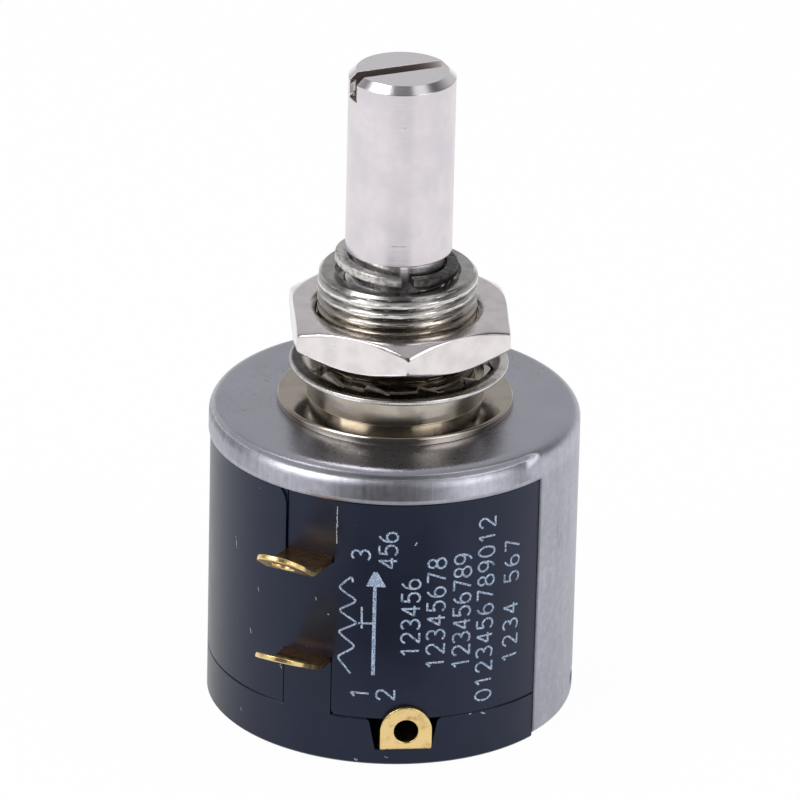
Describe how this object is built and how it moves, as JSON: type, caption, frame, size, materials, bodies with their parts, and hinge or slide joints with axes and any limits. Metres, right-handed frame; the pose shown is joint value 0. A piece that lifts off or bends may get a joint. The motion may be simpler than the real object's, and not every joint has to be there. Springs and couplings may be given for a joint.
{
  "type": "rotary potentiometer",
  "caption": "Multi-turn wirewound potentiometer with a slotted round shaft, threaded bushing, hexagon nut, toothed lock washer and gold-plated solder terminals.",
  "frame": {"origin": "centre of the rear lid's outer face, on the shaft's axis", "axes": "+Z along the shaft towards its slotted end; -Y towards the edge that terminals 1 and 3 leave"},
  "size_m": [0.0222, 0.0269, 0.0401],
  "materials": {
    "can": "satin drawn sheet",
    "bushing": "dull nickel plate over turned brass",
    "lock_washer": "nickel plate over stamped steel",
    "nut": "bright nickel plate",
    "shaft": "ground stainless steel",
    "spring_steel": "stamped spring steel",
    "case": "moulded, slightly glossy",
    "bearing": "sintered bronze",
    "element": "fine resistance wire over an enamelled copper core",
    "terminal": "gold plate",
    "rotor": "moulded",
    "carriage": "moulded",
    "contact": "plated spring bronze"
  },
  "bodies": {
    "case": {"front_cover": "can", "mounting_bushing": "bushing", "lock_washer": "lock_washer", "front_plate": "case", "housing": "case", "rear_lid": "case", "rear_bearing": "bearing", "resistance_helix": "element", "terminal_1": "terminal", "terminal_2": "terminal", "terminal_3": "terminal", "collector_ring": "contact"},
    "spindle": {"shaft": "shaft", "retaining_ring": "spring_steel", "thrust_washer": "spring_steel", "rotor": "rotor", "collector_strip": "contact", "collector_brush": "contact"},
    "wiper": {"wiper_carriage": "carriage", "wiper_contact": "contact"},
    "nut": {"hex_nut": "nut"}
  },
  "joints": [
    {"name": "shaft_turn", "type": "hinge", "parent": "case", "child": "spindle", "pos_m": [0, 0, 0], "axis": [0, 0, 1], "range_deg": [-1800, 1800]},
    {"name": "carriage_travel", "type": "slide", "parent": "spindle", "child": "wiper", "axis": [0, 0, 1], "range_m": [-0.00326, 0.00326]},
    {"name": "nut_travel", "type": "slide", "parent": "case", "child": "nut", "axis": [0, 0, 1], "range_m": [-0.00092, 0.00437]}
  ],
  "couplings": [
    {"joint": "carriage_travel", "follows": "shaft_turn", "m_per_rad": -0.00010345}
  ]
}
